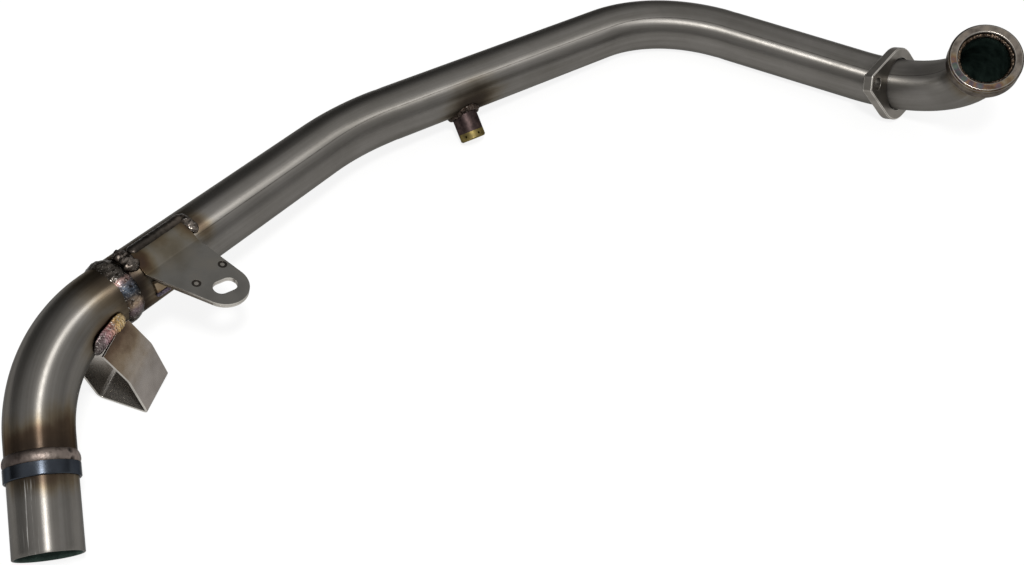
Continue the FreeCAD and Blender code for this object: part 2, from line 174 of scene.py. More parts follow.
def arcLength(degreesRound):
    return math.radians(degreesRound) * pipe["radius"]


# carries a closed ring of vertices one step on
def nextRing(bm, ring):
    edges = [bm.edges.get((ring[i - 1], ring[i])) for i in range(len(ring))]
    made = bmesh.ops.extrude_edge_only(bm, edges=edges)["geom"]
    fresh = {v for v in made if isinstance(v, bmesh.types.BMVert)}
    return [next(e.other_vert(v) for e in v.link_edges if e.other_vert(v) in fresh) for v in ring]


# rings of a swept skin; place(i, k) gives the point of ring i at segment k and the values of its layers
def sweep(bm, count, segments, place, layers):
    first = ring = bmesh.ops.create_circle(bm, segments=segments, radius=1.0)["verts"]
    for i in range(count):
        if i:
            ring = nextRing(bm, ring)
        for k, v in enumerate(ring):
            v.co, values = place(i, k)
            for layer, value in zip(layers, values):
                v[layer] = value
    return first, ring


# map laid from the first two layers; wrap is the length of one turn in that direction
def layMap(bm, layers, name, wrapU=0.0, wrapV=0.0):
    uv = bm.loops.layers.uv.new(name)
    for face in bm.faces:
        for axis, layer, wrap in ((0, layers[0], wrapU), (1, layers[1], wrapV)):
            values = [loop.vert[layer] for loop in face.loops]
            top = max(values)
            for loop, value in zip(face.loops, values):
                if wrap and top - value > wrap / 2:
                    value += wrap
                loop[uv].uv[axis] = value


def finishMesh(bm, name, materials, body, nodes, sharp=50.0):
    mesh = bpy.data.meshes.new(name)
    for edge in bm.edges:
        edge.smooth = len(edge.link_faces) == 2 and edge.calc_face_angle(0.0) < math.radians(sharp)
    for face in bm.faces:
        face.smooth = True
    bm.to_mesh(mesh)
    bm.free()
    obj = bpy.data.objects.new(name, mesh)
    bpy.context.scene.collection.objects.link(obj)
    for material in materials:
        mesh.materials.append(material)
    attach(obj, body)
    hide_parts(*nodes)
    return obj


# sizes in millimetres, angles in degrees from the mark
tubeSteel = {
    "base": "#777470",
    "dark": "#63605b",
    "drawLine": 1.0,  # spacing of the drawing lines, coarser than the real 0.1 mm so that they show
    "streak": 5.0,
    "cloud": 28.0,
    "grime": 3.0,
    "stretch": 0.035,  # lines and streaks are squeezed this much, so that they run along the tube
    "streakShare": 0.5,
    "cloudShare": 0.35,
    "lineShare": 0.3,
    "shift": -0.05,
    "fray": 0.9,
    "frayShift": -0.7,
    "fadeFull": 0.35,  # heat is full to this share of its reach and gone at the next one
    "fadeGone": 1.6,
    "polish": 0.92,
    "roughLow": 0.31,
    "roughLines": 0.14,
    "roughGrime": 0.1,
    "bumpStrength": 0.25,
    "bumpDepth": 0.05,
    # colour of soot, also used for painted shade beside the bracket
    "soot": "#2b2622",
    "temper": [(0.0, "#ffffff"), (0.25, "#f7f0e4"), (0.5, "#e0d0b8"), (0.75, "#b09a86"), (1.0, "#75655c")],
    "seam": "#26221e",
    "seamAngle": 184.0,
    "seamWidth": 0.45,
    "seamDepth": 1.2,
    "scratch": "#d9d6d1",
    "scratchStart": 122.0,  # band of fine scratches on the outlet
    "scratchEnd": 150.0,
    "scratchBand": [(0.0, "#000000"), (0.35, "#ffffff"), (0.7, "#ffffff"), (1.0, "#000000")],
    "scratchReach": 0.8,  # share of the spigot on which they are at full strength
    "scratchFrom": 0.55,  # only the highest drawing lines are scratches
    "scratchFull": 0.66,
}


# nearness, 0 to 1, to places on the tube
# a place is (station, reach, strength, side from the mark, spread round it)
def tubeNear(tree, along, across, fray, places):
    total = None
    for station, reach, strength, side, spread in places:
        gap = addNode(tree, "MapRange", {"Value": along, 1: station * mm, 2: (station + reach) * mm},
                      clamp=False).outputs[0]
        gap = addNode(tree, "Math", {0: gap, 1: 2.0}, operation="POWER").outputs[0]
        turn = addNode(tree, "MapRange", {"Value": across, 1: arcLength(side) * mm,
                                          2: arcLength(side + spread) * mm}, clamp=False).outputs[0]
        gap = addNode(tree, "Math", {0: turn, 1: turn, 2: gap}, operation="MULTIPLY_ADD").outputs[0]
        gap = addNode(tree, "Math", {0: gap}, operation="SQRT").outputs[0]
        gap = addNode(tree, "Math", {0: gap, 1: fray}, operation="ADD").outputs[0]
        near = addNode(tree, "MapRange", {"Value": gap, 1: tubeSteel["fadeGone"], 2: tubeSteel["fadeFull"],
                                          3: 0.0, 4: strength}, interpolation_type="SMOOTHSTEP").outputs[0]
        if total is None:
            total = near
        else:
            total = addNode(tree, "Math", {0: total, 1: near}, operation="MAXIMUM").outputs[0]
    return total


# the tube's own seam, a thin dark line with breaks
def addSeam(tree, colour, across, grime):
    seamAt = arcLength(tubeSteel["seamAngle"]) * mm
    seam = addNode(tree, "Math", {0: across, 1: seamAt}, operation="SUBTRACT").outputs[0]
    seam = addNode(tree, "Math", {0: seam}, operation="ABSOLUTE").outputs[0]
    seam = addNode(tree, "MapRange", {"Value": seam, 1: tubeSteel["seamWidth"] * mm, 2: 0.0,
                                      3: 0.0, 4: tubeSteel["seamDepth"]}).outputs[0]
    seam = addNode(tree, "Math", {0: seam, 1: grime}, operation="MULTIPLY").outputs[0]
    dark = linear(tubeSteel["seam"])
    return addNode(tree, "Mix", {0: seam, 6: colour, 7: dark}, data_type="RGBA").outputs[2]


# scratches that the sleeve left on the outlet
def addScratches(tree, colour, across, along, lines):
    edges = [arcLength(tubeSteel[key]) * mm for key in ("scratchStart", "scratchEnd")]
    band = addNode(tree, "MapRange", {"Value": across, 1: edges[0], 2: edges[1]}).outputs[0]
    band = addNode(tree, "ValToRGB", {0: band}, ramp=tubeSteel["scratchBand"]).outputs[0]
    full = tubeSteel["scratchReach"] * pipe["spigot"] * mm
    reach = addNode(tree, "MapRange", {"Value": along, 1: pipe["spigot"] * mm, 2: full}).outputs[0]
    marks = addNode(tree, "MapRange", {"Value": lines, 1: tubeSteel["scratchFrom"],
                                       2: tubeSteel["scratchFull"]}).outputs[0]
    marks = addNode(tree, "Math", {0: marks, 1: band}, operation="MULTIPLY").outputs[0]
    marks = addNode(tree, "Math", {0: marks, 1: reach}, operation="MULTIPLY").outputs[0]
    scratch = linear(tubeSteel["scratch"])
    return addNode(tree, "Mix", {0: marks, 6: colour, 7: scratch}, data_type="RGBA").outputs[2]


# stainless tube polished round and round: its shine draws out along the length,
# with tan and brown where welding heated it, and darkening that is partly soot beside the welds and partly
# painted shade where the bracket shades the tube
def tubeMaterial(name, heats, sootAndShade, seamed):
    material, tree, shader = newMetal(name)
    uv = addNode(tree, "UVMap", uv_map="route").outputs["UV"]
    place = addNode(tree, "TexCoord").outputs["Object"]
    split = addNode(tree, "SeparateXYZ", {0: uv}).outputs
    across = split[0]
    along = split[1]
    drawn = addNode(tree, "Mapping", {"Vector": uv, "Scale": (1.0, tubeSteel["stretch"], 1.0)}).outputs[0]
    noises = {}
    for key, vector, detail in (("drawLine", drawn, 3.0), ("streak", drawn, 2.0),
                                ("cloud", place, 5.0), ("grime", place, 6.0)):
        scale = 1.0 / (tubeSteel[key] * mm)
        texture = addNode(tree, "TexNoise", {"Vector": vector, "Scale": scale, "Detail": detail})
        noises[key] = texture.outputs[0]
    mix = tubeSteel["shift"]
    for key, share in (("streak", "streakShare"), ("cloud", "cloudShare"), ("drawLine", "lineShare")):
        mix = addNode(tree, "Math", {0: noises[key], 1: tubeSteel[share], 2: mix},
                      operation="MULTIPLY_ADD").outputs[0]
    greys = [(0.35, tubeSteel["dark"]), (0.7, tubeSteel["base"])]
    colour = addNode(tree, "ValToRGB", {0: mix}, ramp=greys).outputs[0]
    # heat, and soot mixed with painted shade, fade along the pipe and round it, frayed into streaks
    fray = tubeSteel["frayShift"]
    for key in ("streak", "cloud"):
        fray = addNode(tree, "Math", {0: noises[key], 1: tubeSteel["fray"], 2: fray},
                       operation="MULTIPLY_ADD").outputs[0]
    heat = tubeNear(tree, along, across, fray, heats)
    tint = addNode(tree, "ValToRGB", {0: heat}, ramp=tubeSteel["temper"]).outputs[0]
    colour = addNode(tree, "Mix", {0: 1.0, 6: colour, 7: tint},
                     data_type="RGBA", blend_type="MULTIPLY").outputs[2]
    # darkening toward the soot colour: soot beside the welds, and painted shade where the bracket shades the
    # tube
    soot = tubeNear(tree, along, across, fray, sootAndShade)
    colour = addNode(tree, "Mix", {0: soot, 6: colour, 7: linear(tubeSteel["soot"])},
                     data_type="RGBA").outputs[2]
    if seamed:
        colour = addSeam(tree, colour, across, noises["grime"])
    else:
        colour = addScratches(tree, colour, across, along, noises["drawLine"])
    tree.links.new(colour, shader.inputs["Base Color"])
    rough = tubeSteel["roughLow"]
    for key, share in (("drawLine", "roughLines"), ("grime", "roughGrime")):
        rough = addNode(tree, "Math", {0: noises[key], 1: tubeSteel[share], 2: rough},
                        operation="MULTIPLY_ADD").outputs[0]
    tree.links.new(rough, shader.inputs["Roughness"])
    shader.inputs["Anisotropic"].default_value = tubeSteel["polish"]
    shader.inputs["Anisotropic Rotation"].default_value = 0.25  # a quarter turn, along the tube
    way = addNode(tree, "Tangent", direction_type="UV_MAP", uv_map="route").outputs[0]
    tree.links.new(way, shader.inputs["Tangent"])
    bump = addNode(tree, "Bump", {"Height": noises["drawLine"], "Strength": tubeSteel["bumpStrength"],
                                  "Distance": tubeSteel["bumpDepth"] * mm}).outputs[0]
    tree.links.new(bump, shader.inputs["Normal"])
    return material


boreSteel = {"cloud": 6.0, "greens": [(0.3, "#1a2622"), (0.75, "#3c4d46")], "roughness": 0.55}


# inside of the tube: dark oxide with a faint green cast
def boreMaterial():
    material, tree, shader = newMetal("oxidised tube bore", metallic=0.6)
    place = addNode(tree, "TexCoord").outputs["Object"]
    cloud = addNode(tree, "TexNoise", {"Vector": place, "Scale": 1.0 / (boreSteel["cloud"] * mm),
                                       "Detail": 5.0}).outputs[0]
    colour = addNode(tree, "ValToRGB", {0: cloud}, ramp=boreSteel["greens"]).outputs[0]
    tree.links.new(colour, shader.inputs["Base Color"])
    shader.inputs["Roughness"].default_value = boreSteel["roughness"]
    return material


bore = boreMaterial()


def skinRadius(s):
    radius = pipe["spigotRadius"] if s < pipe["spigot"] else pipe["radius"]
    for mark in pipe["dieMarks"]:
        radius -= pipe["dieDepth"] * math.exp(-((s - mark) / pipe["dieWidth"]) ** 2)
    return radius


# one length of tube with its wall: out along the skin, over the rim and back along the bore
def makeTube(name, start, end, material, node):
    bm = bmesh.new()
    layers = [bm.verts.layers.float.new(key) for key in ("around", "along", "inside")]
    segments = pipe["segments"]
    edge = pipe["endRound"]
    inner = pipe["radius"] - pipe["wall"]
    count = int((end - start) / pipe["ringStep"]) + 1
    stations = [start + edge + (end - start - 2 * edge) * i / (count - 1) for i in range(count)]
    profile = [(s, skinRadius(s), 0) for s in stations]
    profile += [(end, skinRadius(end) - edge, 0), (end, inner + edge, 1)]
    profile += [(s, inner, 1) for s in reversed(stations)]
    profile += [(start, inner + edge, 1), (start, skinRadius(start) - edge, 0)]
    profile.append(profile[0])
    steps = [walk(s) for s, radius, inside in profile]

    def place(i, k):
        s, radius, inside = profile[i]
        point, heading, normal, mark = steps[i]
        angle = 2 * math.pi * k / segments
        out = mark * math.cos(angle) + heading.cross(mark) * math.sin(angle)
        return point + out * radius * mm, (angle * pipe["radius"] * mm, s * mm, inside)

    first, last = sweep(bm, len(profile), segments, place, layers)
    bmesh.ops.remove_doubles(bm, verts=first + last, dist=mergeGap)
    for face in bm.faces:
        face.material_index = round(min(v[layers[2]] for v in face.verts))
    bmesh.ops.recalc_face_normals(bm, faces=bm.faces)
    layMap(bm, layers, "route", wrapU=arcLength(360) * mm)
    finishMesh(bm, name, [material, bore], "pipe", [node])


elbowSteel = tubeMaterial("polished stainless tube, elbow", [
    (54.0, 12.0, 0.85, 180.0, 400.0),  # behind the stop ring
    (56.0, 18.0, 0.8, 205.0, 45.0),
    (38.0, 10.0, 0.75, 165.0, 90.0),
    (150.0, 24.0, 0.6, 180.0, 120.0),  # behind the butt weld
    (128.0, 20.0, 0.8, 225.0, 32.0),  # beside the loop
], [
    (149.0, 7.0, 0.5, 180.0, 120.0),
    (150.0, 16.0, 0.6, 150.0, 36.0),
    (50.0, 5.0, 0.4, 180.0, 400.0),
    # a darker patch on the outlet's top left
    (36.0, 10.0, 0.6, 132.0, 34.0),
], seamed=False)
frontSteel = tubeMaterial("polished stainless tube, front", [
    (156.0, 14.0, 0.8, 180.0, 150.0),  # in front of the butt weld
    (184.0, 30.0, 0.85, 137.0, 24.0),  # along the saddle's weld
    (210.0, 8.0, 0.7, 165.0, 40.0),
    (172.0, 22.0, 0.7, 235.0, 40.0),  # under the lower leg
    (438.0, 24.0, 0.55, 246.0, 60.0),  # round the sensor boss
    (880.0, 16.0, 0.5, 180.0, 400.0),  # behind the port ring
], [
    # partly soot, partly painted shadow that the bracket's lower leg casts on the tube
    (157.0, 8.0, 0.9, 195.0, 110.0),
    # partly soot, partly painted shade along the saddle's weld
    (184.0, 26.0, 0.6, 132.0, 20.0),
    (436.0, 19.0, 0.9, 241.0, 50.0),
], seamed=True)
buttGap = pipe["buttRoot"] / 2
makeTube("rearElbow", 0.0, pipe["buttAt"] - buttGap, elbowSteel, "rear_elbow")
makeTube("frontTube", pipe["buttAt"] + buttGap, pipeLength - pipe["portRecess"], frontSteel, "front_tube")
print("tubes swept,", round(pipeLength), "mm of pipe")

# weld beads, with ripples laid one over the other like coins; sizes and stations in millimetres
# ripple and grain are shares of the height, a toe above 1 hollows the bead's edges,
# the darkening of the edges (partly burn, partly painted shade), soot and the painted glints go from 0 to 1,
# tints go by the place on the bead
# turns are degrees from the side of the tube that carries the bead's piece
welds = {
    "weldButt": {
        "node": "weld_butt",
        "width": 10.4, "height": 1.5, "toe": 2.2, "pitch": 2.7, "ripple": 0.12, "grain": 0.42,
        "burnAndShade": 0.8, "soot": 1.0, "glint": 0.4, "rough": 0.24,
        "tints": [(0.3, "#423e39"), (0.36, "#6a645d"), (0.42, "#4c4742"), (0.465, "#3a3734"),
                  (0.487, "#8a716c"), (0.505, "#57555a"), (0.54, "#555f6c"), (0.575, "#4c4744"),
                  (0.612, "#94826f"), (0.645, "#6b5e62"), (0.7, "#45403b")],
    },
    "weldStopRing": {
        "node": "weld_stop_ring",
        "width": 7.4, "height": 1.35, "toe": 1.8, "pitch": 4.0, "ripple": 0.02, "grain": 0.1,
        "burnAndShade": 0.6, "soot": 0.45, "glint": 0.0, "rough": 0.34,
        "tints": [(0.0, "#4b4440"), (0.35, "#574e4a"), (0.5, "#6b625c"), (0.6, "#7b706a"), (1.0, "#4b4440")],
        "pits": [(49.0, 210.0), (44.3, 214.0)],  # station and angle of two blow holes
    },
    "weldLoopFront": {
        "node": "weld_loop_front",
        "stations": (111.5, 142.5), "turns": (69.0, 61.5), "lift": 0.3, "length": 32.0,
        "width": 12.0, "height": 3.3, "toe": 1.1, "pitch": 1.9, "ripple": 0.24, "grain": 0.24,
        "burnAndShade": 0.5, "soot": 0.5, "glint": 0.9, "rough": 0.2,
        "tints": [(0.0, "#544f4d"), (0.18, "#7b7172"), (0.34, "#ab9096"), (0.48, "#b98a8a"),
                  (0.6, "#c29c88"), (0.72, "#d2b27c"), (0.88, "#d9c091"), (1.0, "#b9a27a")],
    },
    "weldLoopBack": {
        "node": "weld_loop_back",
        "stations": (115.6, 136.4), "turns": (160.3, 160.3), "lift": 0.3, "length": 20.8,
        "width": 6.6, "height": 2.4, "toe": 1.1, "pitch": 1.9, "ripple": 0.24, "grain": 0.22,
        "burnAndShade": 0.6, "soot": 0.6, "glint": 0.4, "rough": 0.16,
        "tints": [(0.0, "#5d574f"), (0.4, "#7c7058"), (0.7, "#66626a"), (1.0, "#5d574f")],
    },
    "weldBracketUpper": {
        "node": "weld_bracket_upper",
        "stations": (166.0, 207.0), "turns": (-43.5, -43.5), "lift": 0.5, "length": 41.0,
        "width": 7.4, "height": 2.6, "toe": 1.0, "pitch": 5.0, "ripple": 0.03, "grain": 0.1,
        "burnAndShade": 0.6, "soot": 0.4, "glint": 0.0, "rough": 0.2,
        "tints": [(0.0, "#403b37"), (0.3, "#3a3632"), (0.6, "#46413c"), (1.0, "#544c45")],
    },
    "lumpBack": {
        "node": "weld_bracket_ends",
        "stations": (161.8, 161.8), "turns": (-62.0, -8.0), "lift": 0.4, "length": arcLength(54),
        "width": 9.0, "height": 3.6, "toe": 1.0, "pitch": 3.0, "ripple": 0.1, "grain": 0.6,
        "burnAndShade": 0.9, "soot": 1.0, "glint": 0.18, "rough": 0.3,
        "tints": [(0.0, "#3f3a37"), (0.3, "#554e49"), (0.6, "#6d6660"), (1.0, "#56504a")],
    },
    "lumpFront": {
        "node": "weld_bracket_ends",
        "stations": (205.0, 205.0), "turns": (-52.0, -3.0), "lift": 0.4, "length": arcLength(49),
        "width": 7.4, "height": 2.8, "toe": 1.0, "pitch": 2.8, "ripple": 0.12, "grain": 0.28,
        "burnAndShade": 0.9, "soot": 0.8, "glint": 0.4, "rough": 0.14,
        "tints": [(0.0, "#403b37"), (0.4, "#564f49"), (0.7, "#6b645e"), (1.0, "#564f49")],
    },
    "weldBracketLower": {
        "node": "weld_bracket_lower",
        "stations": (165.5, 200.3), "turns": (51.0, 51.0), "lift": 0.4, "length": 34.8,
        "width": 5.0, "height": 1.9, "toe": 1.2, "pitch": 2.0, "ripple": 0.2, "grain": 0.25,
        "burnAndShade": 0.7, "soot": 0.8, "glint": 0.3, "rough": 0.16,
        "tints": [(0.0, "#54505c"), (0.3, "#625665"), (0.5, "#6d594f"), (0.75, "#565064"), (1.0, "#4c4850")],
    },
    "weldBoss": {
        "node": "weld_boss",
        "width": 5.0, "height": 2.1, "toe": 1.0, "pitch": 2.2, "ripple": 0.18, "grain": 0.6,
        "burnAndShade": 0.9, "soot": 1.0, "glint": 0.12, "rough": 0.36,
        "tints": [(0.0, "#40372f"), (0.3, "#594f48"), (0.5, "#413833"), (0.75, "#534942"), (1.0, "#40372f")],
    },
    "weldPortRing": {
        "node": "weld_port_ring",
        "width": 3.0, "height": 1.3, "toe": 1.0, "pitch": 2.4, "ripple": 0.2, "grain": 0.5,
        "burnAndShade": 0.6, "soot": 0.9, "glint": 0.2, "rough": 0.2,
        "tints": [(0.0, "#4f4338"), (0.3, "#3f362e"), (0.55, "#5a4c3e"), (0.8, "#3a322c"), (1.0, "#4f4338")],
    },
}

# what all the beads' surfaces share
weldLook = {
    "patch": 3.0,
    "speckle": 0.9,
    "drift": 6.0,  # how far the patches push the tints along the bead
    "sootShade": [(0.34, "#6b655f"), (0.5, "#ffffff")],
    # painted shade, darkest in the low part of each ripple
    "paintedGrooveShade": [(0.0, "#ffffff"), (0.55, "#e8e4e0"), (0.95, "#5a5550")],
    "grooveShadeGain": 4.0,
    # darker at both edges of the bead: partly burn, partly painted shade in the crease where the bead meets
    # the tube
    "burnAndCreaseShade": [(0.0, "#5c5651"), (0.1, "#a19b95"), (0.18, "#ffffff"),  # one edge of the bead to its crown
                  (0.32, "#ffffff"), (0.4, "#a19b95"), (0.5, "#5c5651")],  # and on to the other edge
    "glint": "#d8d2ca",
    "glintFrom": 0.6,
    "glintFull": 0.68,
    "pit": "#1d1a18",
    "pitLift": 1.0,
    "pitEdge": 2.2,
    "pitFloor": 0.8,
    "pitStrength": 0.9,
    "roughSpread": 0.25,
    "bumpStrength": 0.3,
    "bumpDepth": 0.2,
}


# fused weld metal: painted shade in the grooves between the ripples, temper colours that run along the bead,
# a few painted glints
def weldMaterial(name, bead, length):
    material, tree, shader = newMetal("fused weld metal, " + name, grazing=0.6)
    uv = addNode(tree, "UVMap", uv_map="bead").outputs["UV"]
    place = addNode(tree, "TexCoord").outputs["Object"]
    split = addNode(tree, "SeparateXYZ", {0: uv}).outputs
    along = split[0]
    across = split[1]
    groove = addNode(tree, "Attribute", attribute_name="groove").outputs["Fac"]
    patch = addNode(tree, "TexNoise", {"Vector": place, "Scale": 1.0 / (weldLook["patch"] * mm),
                                       "Detail": 4.0}).outputs[0]
    speckle = addNode(tree, "TexNoise", {"Vector": place, "Scale": 1.0 / (weldLook["speckle"] * mm),
                                         "Detail": 3.0}).outputs[0]
    drift = weldLook["drift"] / length
    where = addNode(tree, "Math", {0: patch, 1: drift, 2: along}, operation="MULTIPLY_ADD").outputs[0]
    where = addNode(tree, "Math", {0: where, 1: drift / 2}, operation="SUBTRACT").outputs[0]
    colour = addNode(tree, "ValToRGB", {0: where}, ramp=bead["tints"]).outputs[0]
    # strength of the painted shade in the ripples' grooves
    grooveShadeStrength = min(1.0, bead["ripple"] * weldLook["grooveShadeGain"])
    # soot, the painted groove shade, and edge darkening that is partly burn and partly painted shade
    for strength, value, ramp in ((bead["soot"], patch, "sootShade"), (grooveShadeStrength, groove, "paintedGrooveShade"),
                                  (bead["burnAndShade"], across, "burnAndCreaseShade")):
        shade = addNode(tree, "ValToRGB", {0: value}, ramp=weldLook[ramp]).outputs[0]
        colour = addNode(tree, "Mix", {0: strength, 6: colour, 7: shade},
                         data_type="RGBA", blend_type="MULTIPLY").outputs[2]
    # painted glints: a few pale specks that stand for light glinting off the bead
    glint = addNode(tree, "MapRange", {"Value": speckle, 1: weldLook["glintFrom"], 2: weldLook["glintFull"],
                                       3: 0.0, 4: bead["glint"]}).outputs[0]
    colour = addNode(tree, "Mix", {0: glint, 6: colour, 7: linear(weldLook["glint"])},
                     data_type="RGBA").outputs[2]
    # painted shade: the blow holes are darkened to near black
    for station, angle in bead.get("pits", []):
        pit = seat(station, angle, weldLook["pitLift"], fromNormal=False)[1]
        gap = addNode(tree, "VectorMath", {0: place, 1: pit}, operation="DISTANCE").outputs["Value"]
        gap = addNode(tree, "MapRange", {"Value": gap, 1: weldLook["pitEdge"] * mm,
                                         2: weldLook["pitFloor"] * mm,
                                         3: 0.0, 4: weldLook["pitStrength"]}).outputs[0]
        colour = addNode(tree, "Mix", {0: gap, 6: colour, 7: linear(weldLook["pit"])},
                         data_type="RGBA").outputs[2]
    tree.links.new(colour, shader.inputs["Base Color"])
    rough = addNode(tree, "Math", {0: speckle, 1: weldLook["roughSpread"], 2: bead["rough"]},
                    operation="MULTIPLY_ADD").outputs[0]
    tree.links.new(rough, shader.inputs["Roughness"])
    bump = addNode(tree, "Bump", {"Height": speckle, "Strength": weldLook["bumpStrength"],
                                  "Distance": weldLook["bumpDepth"] * mm}).outputs[0]
    tree.links.new(bump, shader.inputs["Normal"])
    return material


# how all the beads are shaped; the waves are counted per millimetre
beadShape = {
    "segments": 24,
    "step": 0.4,
    "sink": 0.8,  # how deep a bead's root goes into the tube
    "curl": 0.4,  # how far a ripple's middle runs ahead of its ends, as a share of the width
    "blunt": 0.02,  # keeps the ends from closing to a point
    "swellWaves": 0.16,
    "grainWaves": 0.5,
    "fineWaves": 1.1,
    "wanderWaves": 0.4,
    "fineShare": 0.6,
    "swellWide": 0.5,
    "wanderWide": 0.35,
    "swellHigh": 0.6,
    "grainHigh": 0.7,
    "pitRadius": 1.3,
    "pitDepth": 0.85,
}


# a bead along a spine; spine(t) gives turn and place, with x across the bead and y out of it
def layBead(name, spine, length, closed=False):
    bead = welds[name]
    bm = bmesh.new()
    layers = [bm.verts.layers.float.new(key) for key in ("run", "cross", "groove")]
    segments = beadShape["segments"]
    count = int(length / beadShape["step"]) + 2
    pitch = length / max(1, round(length / bead["pitch"]))
    pits = [seat(station, angle, fromNormal=False)[1] for station, angle in bead.get("pits", [])]

    def place(i, k):
        t = i / (count - 1)
        turn, at = spine(t)
        angle = 2 * math.pi * k / segments
        along = t * length
        taper = 1.0
        if not closed:
            fromEnd = min(along, length - along) / (bead["width"] * 0.5)
            taper = math.sqrt(max(beadShape["blunt"], 1 - (1 - min(fromEnd, 1.0)) ** 2))
        x = math.cos(angle)
        y = math.sin(angle)
        groove = ((along - beadShape["curl"] * bead["width"] * (1 - x * x)) / pitch) % 1.0
        here = (at + turn @ Vector((x * bead["width"] / 2 * mm, 0.0, 0.0))) / mm
        swell = noise.noise(here * beadShape["swellWaves"])
        fine = noise.noise(here * beadShape["fineWaves"])
        grain = noise.noise(here * beadShape["grainWaves"]) + beadShape["fineShare"] * fine
        wander = noise.noise(at / mm * beadShape["wanderWaves"])
        uneven = beadShape["swellWide"] * swell + beadShape["wanderWide"] * wander
        wide = bead["width"] / 2 * taper * (1 + bead["grain"] * uneven)
        uneven = beadShape["swellHigh"] * swell + beadShape["grainHigh"] * grain
        high = bead["height"] * taper * (1 - bead["ripple"] * groove) * (1 + bead["grain"] * uneven)
        for pit in pits:
            far = (here * mm - pit).length / (beadShape["pitRadius"] * mm)
            high *= 1 - beadShape["pitDepth"] * math.exp(-far ** 2)
        rise = high * y ** bead["toe"] if y > 0 else y * beadShape["sink"] * taper
        return at + turn @ (Vector((x * wide, rise, 0.0)) * mm), (t, k / segments, groove)

    first, last = sweep(bm, count, segments, place, layers)
    if closed:
        bmesh.ops.remove_doubles(bm, verts=first + last, dist=mergeGap)
    else:
        for ring in (first, last):
            bmesh.ops.contextual_create(bm, geom=ring)
    bmesh.ops.recalc_face_normals(bm, faces=bm.faces)
    layMap(bm, layers, "bead", wrapU=1.0 if closed else 0.0, wrapV=1.0)
    finishMesh(bm, name, [weldMaterial(name, bead, length)], "pipe", [bead["node"]], sharp=80.0)


def layRing(name, station):
    def spine(t):
        return seat(station, 360.0 * t, fromNormal=False)
    layBead(name, spine, arcLength(360), closed=True)


# an open bead between two stations and two turns on the tube
def layOpen(name, face, along):
    bead = welds[name]
    start, end = bead["stations"]
    turnStart, turnEnd = bead["turns"]
    lengthways = Matrix.Rotation(math.radians(90), 4, "Y")

    def spine(t):
        angle = face + turnStart + (turnEnd - turnStart) * t
        turn, at = seat(start + (end - start) * t, angle, bead["lift"])
        return turn @ lengthways if along else turn, at
    layBead(name, spine, bead["length"])


# the sensor boss stands on the tube; its weld is a ring of this radius laid over the tube
boss = {
    "station": 435.5,
    "angle": -41.4,
    "weldRadius": 9.3,
    "weldLean": 0.5,
    "plugTurn": -122.0,  # the plug is screwed round until its pin holes face the camera
}


def aroundBoss(t):
    turn, at = seat(boss["station"], boss["angle"])
    heading, out, around = (turn.to_3x3().col[i] for i in range(3))
    a = 2 * math.pi * t
    x = boss["weldRadius"] * math.cos(a)
    z = boss["weldRadius"] * math.sin(a)
    high = math.sqrt(pipe["radius"] ** 2 - z ** 2)
    middle = at - out * pipe["radius"] * mm
    place = middle + (heading * x + around * z + out * high) * mm
    away = (heading * math.cos(a) + around * math.sin(a)).normalized()
    skinWay = (around * z + out * high).normalized()
    rise = (skinWay + away * boss["weldLean"]).normalized()
    run = away.cross(rise).normalized()
    return Matrix((rise.cross(run), rise, run)).transposed().to_4x4(), place


portWeld = {"lean": 0.6, "inset": 0.7}


# corner between the tube's end and the port ring's inner wall
def insidePort(t):
    point, heading, normal, mark = walk(pipeLength - pipe["portRecess"])
    out = Matrix.Rotation(2 * math.pi * t, 3, heading) @ mark
    rise = (heading - out * portWeld["lean"]).normalized()
    run = heading.cross(out)
    place = point + out * (pipe["radius"] - portWeld["inset"]) * mm
    return Matrix((rise.cross(run), rise, run)).transposed().to_4x4(), place


bracketFace = -177.2  # sides of the tube that carry the bracket and the loop
loopFace = 170.4
layRing("weldButt", pipe["buttAt"])
layRing("weldStopRing", pipe["stopWeldAt"])
layOpen("weldLoopFront", loopFace, along=True)
layOpen("weldLoopBack", loopFace, along=True)
layOpen("weldBracketUpper", bracketFace, along=True)
layOpen("lumpBack", bracketFace, along=False)
layOpen("lumpFront", bracketFace, along=False)
layOpen("weldBracketLower", bracketFace, along=True)
layBead("weldBoss", aroundBoss, 2 * math.pi * boss["weldRadius"], closed=True)
layBead("weldPortRing", insidePort, arcLength(360), closed=True)
print("beads laid")

# temper colours by strength of heat: on cold-rolled sheet, and on the port ring's face
straw = [(0.0, "#ffffff"), (0.3, "#f3e8d4"), (0.55, "#dcc6a6"), (0.75, "#ae917a"), (0.9, "#857286"),
         (1.0, "#646a84")]
rainbow = [(0.0, "#ffffff"), (0.2, "#f6e9cb"), (0.4, "#ecc9ae"), (0.55, "#cdbcd8"), (0.75, "#b4cee0"),
           (0.95, "#bfe0d6")]
sheetLook = {
    "grain": 0.6,  # millimetres, coarser than the real grain so that it shows
    "roughSpread": 0.16,
    "bumpStrength": 0.08,
    "bumpDepth": 0.05,
    "fray": 0.8,
    "fadeFull": 0.45,  # heat is full to this share of its reach and gone at the next one
    "fadeGone": 1.4,
}


